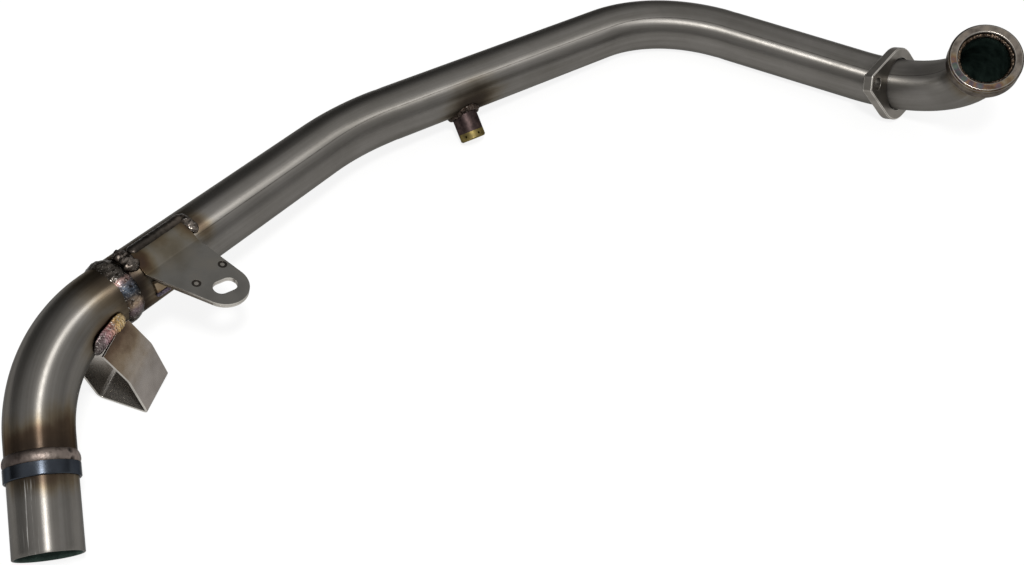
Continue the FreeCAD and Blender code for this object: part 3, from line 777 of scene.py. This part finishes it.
# cold-rolled or turned metal: fine grain and satin shine, tempered where a weld came near
# a heat is (place, reach in millimetres, strength)
def sheetMaterial(name, base, dark, warm, roughness=0.34, heats=(), temper=straw, mottle=14.0):
    material, tree, shader = newMetal(name)
    place = addNode(tree, "TexCoord").outputs["Object"]
    grain = addNode(tree, "TexNoise", {"Vector": place, "Scale": 1.0 / (sheetLook["grain"] * mm),
                                       "Detail": 3.0}).outputs[0]
    cloud = addNode(tree, "TexNoise", {"Vector": place, "Scale": 1.0 / (mottle * mm),
                                       "Detail": 4.0}).outputs[0]
    colour = addNode(tree, "ValToRGB", {0: cloud}, ramp=[(0.3, dark), (0.55, base), (0.8, warm)]).outputs[0]
    heat = None
    for at, reach, strength in heats:
        full = sheetLook["fadeFull"] * reach * mm
        gone = sheetLook["fadeGone"] * reach * mm
        gap = addNode(tree, "VectorMath", {0: place, 1: at}, operation="DISTANCE").outputs["Value"]
        gap = addNode(tree, "Math", {0: cloud, 1: sheetLook["fray"] * reach * mm, 2: gap},
                      operation="MULTIPLY_ADD").outputs[0]
        near = addNode(tree, "MapRange", {"Value": gap, 1: gone, 2: full, 3: 0.0, 4: strength},
                       interpolation_type="SMOOTHSTEP").outputs[0]
        if heat is None:
            heat = near
        else:
            heat = addNode(tree, "Math", {0: heat, 1: near}, operation="MAXIMUM").outputs[0]
    if heat is not None:
        tint = addNode(tree, "ValToRGB", {0: heat}, ramp=temper).outputs[0]
        colour = addNode(tree, "Mix", {0: 1.0, 6: colour, 7: tint},
                         data_type="RGBA", blend_type="MULTIPLY").outputs[2]
    tree.links.new(colour, shader.inputs["Base Color"])
    spread = sheetLook["roughSpread"]
    rough = addNode(tree, "Math", {0: grain, 1: spread, 2: roughness - spread / 2},
                    operation="MULTIPLY_ADD").outputs[0]
    tree.links.new(rough, shader.inputs["Roughness"])
    bump = addNode(tree, "Bump", {"Height": grain, "Strength": sheetLook["bumpStrength"],
                                  "Distance": sheetLook["bumpDepth"] * mm}).outputs[0]
    tree.links.new(bump, shader.inputs["Normal"])
    return material


# when a frame node is copied, its loose triangles are joined and its flat faces made whole
copying = {"mergeGap": 0.002, "flatAngle": 0.5, "cornerAngle": 35.0}


def frameCopy(node):
    bm = bmesh.new()
    bm.from_mesh(frame["nodes"][node].data)
    bmesh.ops.remove_doubles(bm, verts=bm.verts, dist=copying["mergeGap"] * mm)
    flat = math.radians(copying["flatAngle"])
    bmesh.ops.dissolve_limit(bm, angle_limit=flat, verts=bm.verts, edges=bm.edges)
    return bm


# a piece that keeps the frame's shape with its sharp edges broken by some tenths of a millimetre
# isRim gives a face its material, and edgeIndex gives the broken edges theirs
def broken(node, name, materials, body, edge=0.0, isRim=None, edgeIndex=-1, turned=None):
    bm = frameCopy(node)
    if turned:
        bmesh.ops.rotate(bm, verts=bm.verts, cent=turned[0], matrix=turned[1])
    steep = math.radians(copying["cornerAngle"])
    corners = [e for e in bm.edges if len(e.link_faces) == 2 and e.calc_face_angle(0.0) > steep]
    if isRim:
        for face in bm.faces:
            face.material_index = int(isRim(face.normal, face.calc_center_median()))
    if edge:
        bmesh.ops.bevel(bm, geom=corners, offset=edge * mm, segments=2, profile=0.5, affect="EDGES",
                        material=edgeIndex, clamp_overlap=True)
    obj = finishMesh(bm, name, materials, body, [node], sharp=40.0)
    obj.modifiers.new("evenNormals", "WEIGHTED_NORMAL").keep_sharp = True


spotWeld = {"ring": 1.3, "dimple": 0.12, "discCorners": 8}


# spot welds: each face has a dark ring round a paler dimple
def makeSpots(node, name, ringMaterial, middleMaterial):
    bm = frameCopy(node)
    discs = [face for face in bm.faces if len(face.verts) > spotWeld["discCorners"]]
    bmesh.ops.inset_individual(bm, faces=discs, thickness=spotWeld["ring"] * mm,
                               depth=spotWeld["dimple"] * mm)
    for face in discs:
        face.material_index = 1
    finishMesh(bm, name, [ringMaterial, middleMaterial], "pipe", [node], sharp=30.0)


# which faces of the sheets are cut edges
cuts = {
    "bracketAt": 184.0,
    "loopAt": 126.0,
    "tabFrom": 28.0,  # the tab begins this far from the middle of the tube
    "tabLean": 0.3,  # a rim face leans on the tab's axis by less than this, as a cosine
    "stripLean": 0.85,  # and a cut side of the strip on the tube's heading by more
}
tabAxis = Vector(mounts["tab_face"]["axis"])
tabMiddle = walk(cuts["bracketAt"])[0]
loopWay = walk(cuts["loopAt"])[1]
loopInside = sum((Vector(corner) for corner in openings["loop_inside"]["box_m"]), Vector()) / 2


def isTabRim(normal, centre):
    onTab = (centre - tabMiddle).length > cuts["tabFrom"] * mm
    return onTab and abs(normal.dot(tabAxis)) < cuts["tabLean"]


# 1 on the strip's cut edges, 2 on its inner side, which takes the paler steel that is painted light
def loopSide(normal, centre):
    if abs(normal.dot(loopWay)) > cuts["stripLean"]:
        return 1
    return 2 if normal.dot(loopInside - centre) > 0 else 0


# heats at (station, turn from the face, reach, strength)
def heatsBy(face, rows, lift=0.0):
    return [(seat(s, face + turn, lift)[1], reach, strength) for s, turn, reach, strength in rows]


saddleHeat = heatsBy(bracketFace, [(184.0, -40.0, 14.0, 0.6), (165.0, -16.0, 17.0, 0.78),
                                   (205.0, -24.0, 17.0, 0.82), (184.0, -15.0, 24.0, 0.3)])
legHeat = heatsBy(bracketFace, [(170.0, 40.0, 18.0, 0.44), (166.0, 50.0, 7.0, 1.0), (178.0, 52.0, 6.0, 0.9)])
loopHeat = heatsBy(loopFace, [(126.0, 80.0, 34.0, 0.95), (138.0, 80.0, 15.0, 0.95)])
# tints that come and go round the port ring's face, at turns from the bend's normal
portTint = {
    "lift": 3.0,
    "reach": 6.0,
    "turns": [(292, 0.5), (306, 0.95), (320, 0.75), (335, 0.9), (350, 0.6),
              (5, 0.8), (20, 0.45), (38, 0.6), (60, 0.3)],
}
portRows = [(pipeLength, turn, portTint["reach"], strength) for turn, strength in portTint["turns"]]
portHeat = heatsBy(0.0, portRows, portTint["lift"])

# sheared edges, bright and clean and lifted further as a painted highlight, and the same gone dull
cutEdgeAndHighlight = sheetMaterial("bright cut steel edge and painted highlight", "#b9b5ae", "#9a968f", "#c2bdb5", 0.3)
wornEdge = sheetMaterial("worn steel edge", "#7d7872", "#5f5b56", "#8a8379", 0.3)
# grey mill finish that browns towards its welds
upperSteel = sheetMaterial("cold-rolled steel sheet, saddle", "#62605c", "#585652", "#68645d",
                           heats=saddleHeat)
lowerSteel = sheetMaterial("cold-rolled steel sheet, leg", "#867f76", "#767069", "#8c8374", heats=legHeat)
loopSteel = sheetMaterial("cold-rolled steel strip, loop", "#88827d", "#7a746f", "#8e8781", 0.28,
                          loopHeat, tubeSteel["temper"])
# a paler copy of the strip's steel for the loop's inside: painted light standing for the floor's light
# reflected inside the loop
paintedLightInnerSteel = sheetMaterial("steel strip, inside of the loop, painted lighter", "#b3aea8", "#98938d", "#bab4ad", 0.28)
# flat even grey
flangeSteel = sheetMaterial("laser-cut steel plate, flange", "#85817b", "#76726c", "#8d8881", 0.34)
# turned rings: the port's is mottled with rainbow tints, the stop's is a dark blue gloss
portSteel = sheetMaterial("turned stainless ring, port", "#645d56", "#423d38", "#72695d", 0.4,
                          portHeat, rainbow, 5.0)
stopSteel = sheetMaterial("blued stainless ring, stop", "#34383e", "#292c31", "#47484c", 0.22)
# dull and blotched, the boss brown and its plug a dirty yellow
bossSteel = sheetMaterial("heat-browned steel boss", "#3a302f", "#292221", "#4a3d39", 0.42, mottle=3.0)
plugBrass = sheetMaterial("dull turned brass", "#695d38", "#50472e", "#786a40", 0.46, mottle=4.0)
# a burnt ring round a clean dimple
spotRing = sheetMaterial("scorched spot weld ring", "#2c2926", "#211f1d", "#38332f", 0.45)
spotMiddle = sheetMaterial("spot weld dimple", "#75716b", "#635f5a", "#7b766f", 0.34)

# the bright edge steel on the sheets' cut edges is partly painted highlight
broken("bracket_upper", "bracketUpper", [upperSteel, cutEdgeAndHighlight], "pipe", edge=0.2,
       isRim=isTabRim)
broken("bracket_lower", "bracketLower", [lowerSteel, cutEdgeAndHighlight], "pipe", edge=0.2,
       isRim=isTabRim)
# the loop's inside takes the paler copy of its steel, painted light
broken("stop_loop", "stopLoop", [loopSteel, cutEdgeAndHighlight, paintedLightInnerSteel], "pipe", edge=0.2,
       isRim=loopSide, edgeIndex=1)
broken("stud_flange", "studFlange", [flangeSteel, cutEdgeAndHighlight], "flange", edge=0.35,
       edgeIndex=1)
broken("port_ring", "portRing", [portSteel, wornEdge], "pipe", edge=0.35, edgeIndex=1)
broken("stop_ring", "stopRing", [stopSteel], "pipe", edge=0.15)
broken("sensor_boss", "sensorBoss", [bossSteel], "pipe", edge=0.3)
bossTurn, bossPlace = seat(boss["station"], boss["angle"])
plugTurn = Matrix.Rotation(math.radians(boss["plugTurn"]), 3, bossTurn.to_3x3().col[1])
broken("boss_plug", "bossPlug", [plugBrass], "pipe", turned=(bossPlace, plugTurn))
makeSpots("spot_welds", "spotWelds", spotRing, spotMiddle)
print("sheet and turned pieces done")

# pale floor, a pale room that is dark to the left and behind, and one lamp above the camera; metres
studio = {
    "floorColour": "#f4f3f1",
    "floorSize": 12.0,
    "floorDrop": 0.0002,
    "floorGlow": 0.85,
    "keyPlace": (0.013, -0.55, 1.01),
    "keySize": 0.15,
    "keyEnergy": 12.0,
    "darkWay": (-0.81, 0.56, 0.17),
    "darkFrom": 0.4,  # nearness to that way, as a cosine, at which the dark begins and is full
    "darkFull": 0.78,
    "darkLevel": 0.16,
    "horizonLevel": 0.42,
    "ceilingFrom": 0.6,
}


def makeFloor():
    bm = bmesh.new()
    bmesh.ops.create_grid(bm, x_segments=1, y_segments=1, size=studio["floorSize"] / 2)
    mesh = bpy.data.meshes.new("floor")
    bm.to_mesh(mesh)
    bm.free()
    floor = bpy.data.objects.new("floor", mesh)
    bpy.context.scene.collection.objects.link(floor)
    floor.location.z = cadLow.z - studio["floorDrop"]
    material = bpy.data.materials.new("pale paper floor")  # matt white that keeps only a soft shadow
    material.use_nodes = True
    tree = material.node_tree
    shader = tree.nodes["Principled BSDF"]
    shader.inputs["Base Color"].default_value = linear(studio["floorColour"])
    shader.inputs["Roughness"].default_value = 0.9
    shader.inputs["Specular IOR Level"].default_value = 0.1
    rays = addNode(tree, "LightPath").outputs
    seen = addNode(tree, "Math", {0: rays["Is Camera Ray"], 1: rays["Is Glossy Ray"]},
                   operation="MAXIMUM").outputs[0]
    share = addNode(tree, "Math", {0: seen, 1: studio["floorGlow"]}, operation="MULTIPLY").outputs[0]
    white = addNode(tree, "Emission", {"Color": (1.0, 1.0, 1.0, 1.0), "Strength": 1.0}).outputs[0]
    both = addNode(tree, "MixShader", {0: share, 1: shader.outputs[0], 2: white}).outputs[0]
    tree.links.new(both, tree.nodes["Material Output"].inputs["Surface"])
    mesh.materials.append(material)


def addLamp(name, place, size, energy):
    data = bpy.data.lights.new(name, "AREA")
    data.size = size
    data.energy = energy
    lamp = bpy.data.objects.new(name, data)
    bpy.context.scene.collection.objects.link(lamp)
    lamp.location = place
    lamp.rotation_euler = (-Vector(place)).to_track_quat("-Z", "Y").to_euler()


# the room darkens towards one side and towards the horizon, so that the tube's far edge stays dark
def makeRoom():
    world = bpy.data.worlds.new("studio")
    bpy.context.scene.world = world
    world.use_nodes = True
    tree = world.node_tree
    way = addNode(tree, "TexCoord").outputs["Generated"]
    side = addNode(tree, "VectorMath", {0: way, 1: studio["darkWay"]},
                   operation="DOT_PRODUCT").outputs["Value"]
    wall = addNode(tree, "MapRange", {"Value": side, 1: studio["darkFrom"], 2: studio["darkFull"],
                                      3: 1.0, 4: studio["darkLevel"]},
                   interpolation_type="SMOOTHSTEP").outputs[0]
    height = addNode(tree, "SeparateXYZ", {0: way}).outputs[2]
    ceiling = addNode(tree, "MapRange", {"Value": height, 1: 0.0, 2: studio["ceilingFrom"],
                                         3: studio["horizonLevel"], 4: 1.0}).outputs[0]
    level = addNode(tree, "Math", {0: wall, 1: ceiling}, operation="MULTIPLY").outputs[0]
    seen = addNode(tree, "LightPath").outputs["Is Camera Ray"]
    level = addNode(tree, "Math", {0: level, 1: seen}, operation="MAXIMUM").outputs[0]
    tree.links.new(level, tree.nodes["Background"].inputs["Color"])


makeFloor()
addLamp("keyLamp", studio["keyPlace"], studio["keySize"], studio["keyEnergy"])
makeRoom()
bpy.context.scene.view_settings.view_transform = "Standard"

# camera at the photograph's place: it looks down at about 48 degrees with a slight roll
shot = {
    "place": (-0.03175, -0.55199, 0.59366),
    "aim": (-0.0318, -0.01772, 0.0),
    "roll": 7.2,
    "lens": 45.7,
    "sensor": 36.0,
    "nearest": 0.01,
    "farthest": 50.0,
}


def makeCamera():
    data = bpy.data.cameras.new("photoCamera")
    data.sensor_width = shot["sensor"]
    data.lens = shot["lens"]
    data.clip_start = shot["nearest"]
    data.clip_end = shot["farthest"]
    camera = bpy.data.objects.new("photoCamera", data)
    bpy.context.scene.collection.objects.link(camera)
    look = (Vector(shot["aim"]) - Vector(shot["place"])).to_track_quat("-Z", "Y").to_matrix().to_4x4()
    roll = Matrix.Rotation(math.radians(shot["roll"]), 4, "Z")
    camera.matrix_world = Matrix.Translation(shot["place"]) @ look @ roll
    bpy.context.scene.camera = camera


makeCamera()
